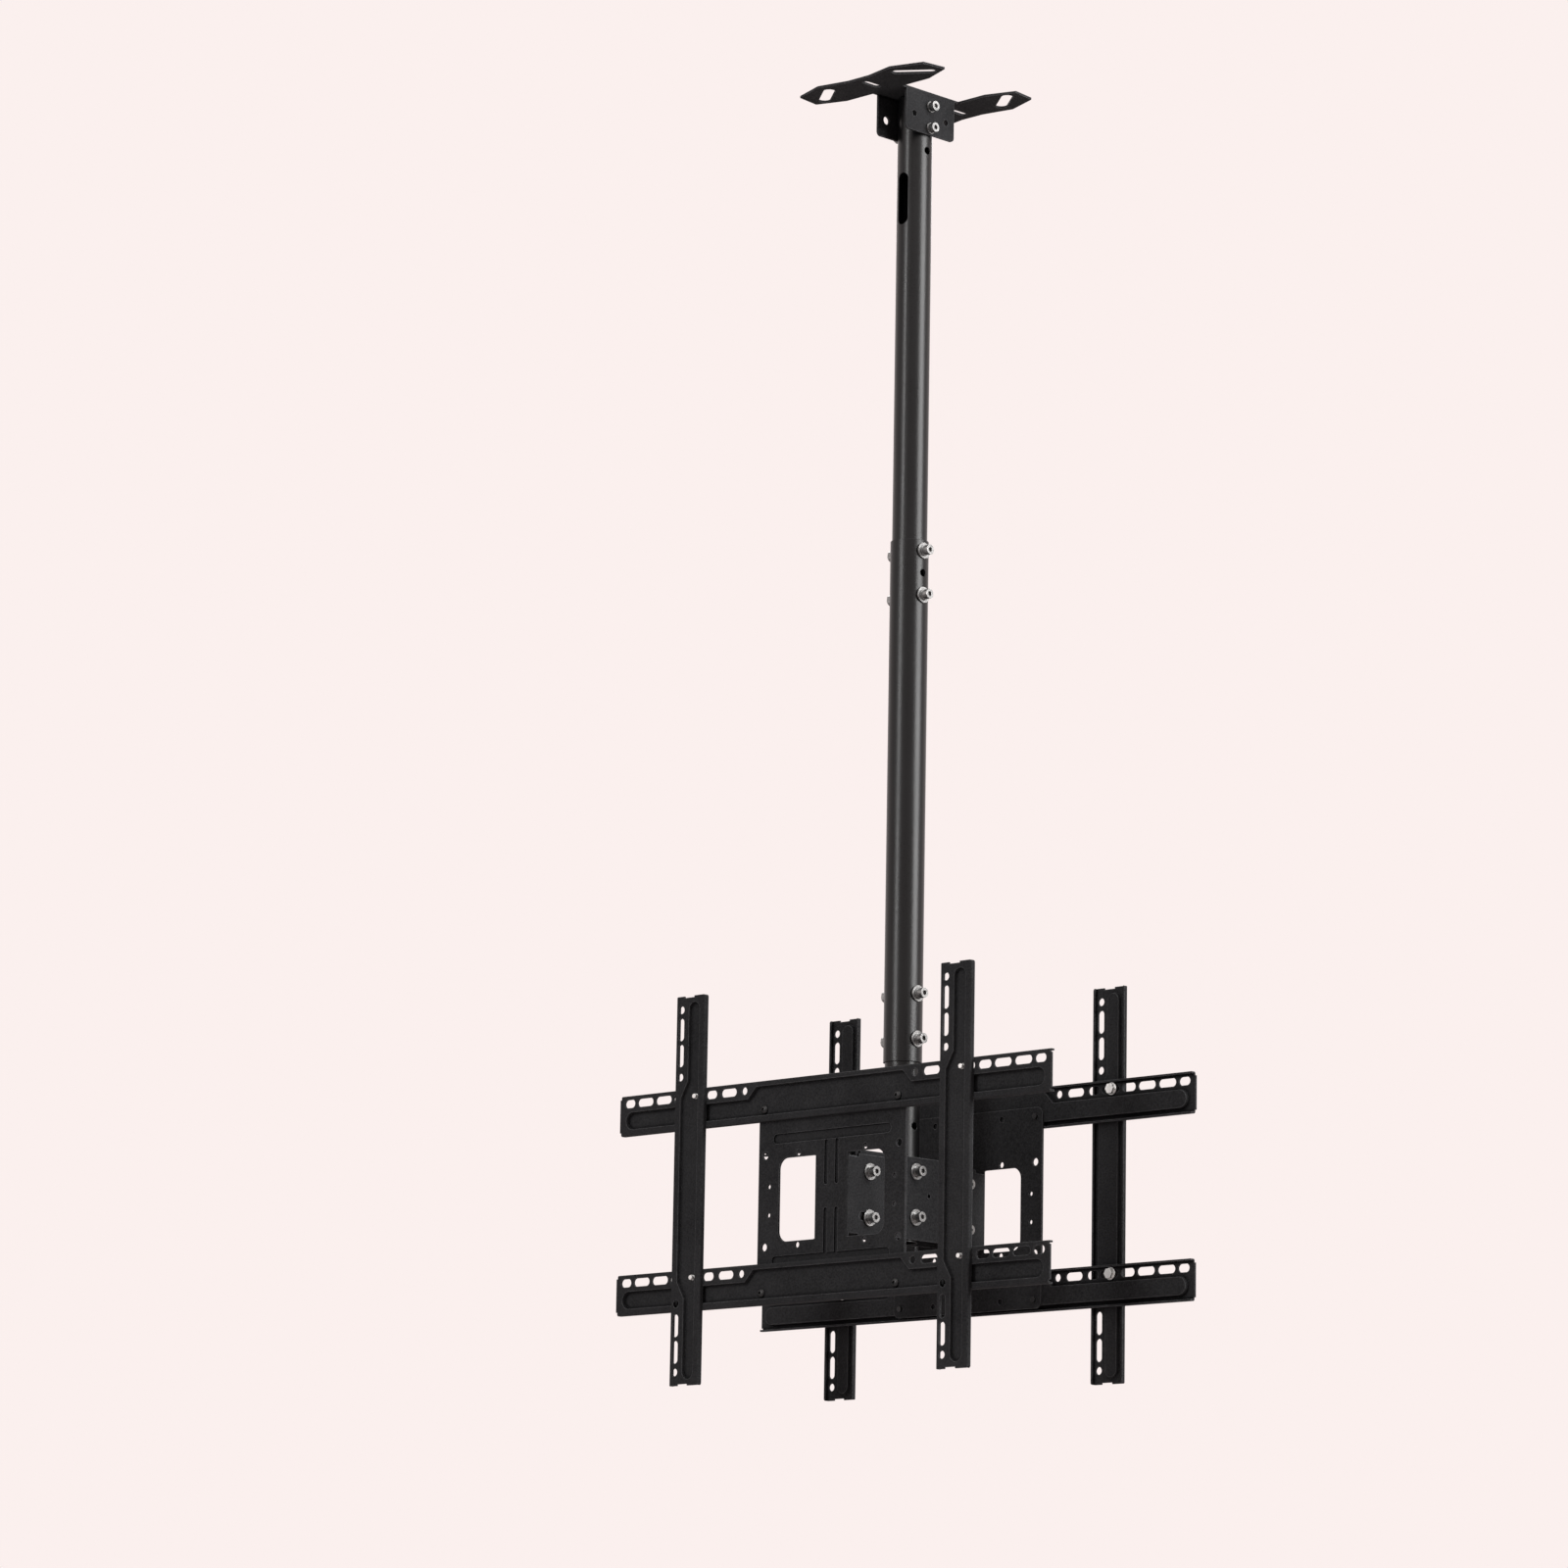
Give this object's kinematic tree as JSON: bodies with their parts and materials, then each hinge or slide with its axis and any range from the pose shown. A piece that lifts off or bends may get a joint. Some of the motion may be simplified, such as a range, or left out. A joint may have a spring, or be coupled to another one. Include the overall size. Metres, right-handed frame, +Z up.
{
  "type": "ceiling mount for two screens back to back",
  "caption": "Ceiling bracket and telescopic tube drop that carries two tilting plates back to back, each with rails and sliding upright bars for a screen.",
  "frame": {"origin": "centre of the ceiling bracket's top face, which lies against the ceiling", "axes": "+Z up, X along the screens, the front screen faces -Y"},
  "size_m": [0.647, 0.242, 1.4485],
  "materials": {
    "black_coat": "fine textured black powder coat",
    "tube_black": "satin black powder coat",
    "zinc": "bright zinc plated steel",
    "black_screw": "black oxide steel"
  },
  "bodies": {
    "ceiling": {"ceiling_bracket": "black_coat", "upper_tube": "tube_black", "ceiling_bolts": "zinc", "ceiling_spring_washers": "zinc", "ceiling_nuts": "zinc"},
    "drop": {"drop_tube": "tube_black", "head_tube": "tube_black", "left_side_plate": "black_coat", "right_side_plate": "black_coat", "upper_joint_bolts": "zinc", "upper_joint_washers": "zinc", "upper_joint_spring_washers": "zinc", "upper_joint_nuts": "zinc", "lower_joint_bolts": "zinc", "lower_joint_washers": "zinc", "lower_joint_spring_washers": "zinc", "lower_joint_nuts": "zinc", "head_bolts": "zinc", "head_washers": "zinc", "head_spring_washers": "zinc", "head_nuts": "zinc", "front_tilt_bolts": "zinc", "front_tilt_washers": "zinc", "front_tilt_spring_washers": "zinc", "front_tilt_nuts": "zinc", "back_tilt_bolts": "zinc", "back_tilt_washers": "zinc", "back_tilt_spring_washers": "zinc", "back_tilt_nuts": "zinc"},
    "front_head": {"front_plate": "black_coat", "front_upper_rail": "black_coat", "front_lower_rail": "black_coat", "front_rail_screws": "black_screw"},
    "front_left_bar": {"front_left_bar": "black_coat", "front_left_bar_screws": "zinc", "front_left_bar_washers": "zinc"},
    "front_right_bar": {"front_right_bar": "black_coat", "front_right_bar_screws": "zinc", "front_right_bar_washers": "zinc"},
    "back_head": {"back_plate": "black_coat", "back_upper_rail": "black_coat", "back_lower_rail": "black_coat", "back_rail_screws": "black_screw"},
    "back_left_bar": {"back_left_bar": "black_coat", "back_left_bar_screws": "zinc", "back_left_bar_washers": "zinc"},
    "back_right_bar": {"back_right_bar": "black_coat", "back_right_bar_screws": "zinc", "back_right_bar_washers": "zinc"}
  },
  "joints": [
    {"name": "height_slide", "type": "slide", "parent": "ceiling", "child": "drop", "axis": [0, 0, -1], "range_m": [0, 0.15]},
    {"name": "front_tilt", "type": "hinge", "parent": "drop", "child": "front_head", "pos_m": [0, -0.075, -1.226], "axis": [1, 0, 0], "range_deg": [0, 12]},
    {"name": "back_tilt", "type": "hinge", "parent": "drop", "child": "back_head", "pos_m": [0, 0.075, -1.226], "axis": [-1, 0, 0], "range_deg": [0, 12]},
    {"name": "front_left_bar_slide", "type": "slide", "parent": "front_head", "child": "front_left_bar", "axis": [1, 0, 0], "range_m": [-0.0095, 0.0075]},
    {"name": "front_right_bar_slide", "type": "slide", "parent": "front_head", "child": "front_right_bar", "axis": [1, 0, 0], "range_m": [-0.0045, 0.0125]},
    {"name": "back_left_bar_slide", "type": "slide", "parent": "back_head", "child": "back_left_bar", "axis": [1, 0, 0], "range_m": [-0.016, 0.001]},
    {"name": "back_right_bar_slide", "type": "slide", "parent": "back_head", "child": "back_right_bar", "axis": [1, 0, 0], "range_m": [-0.011, 0.006]}
  ]
}
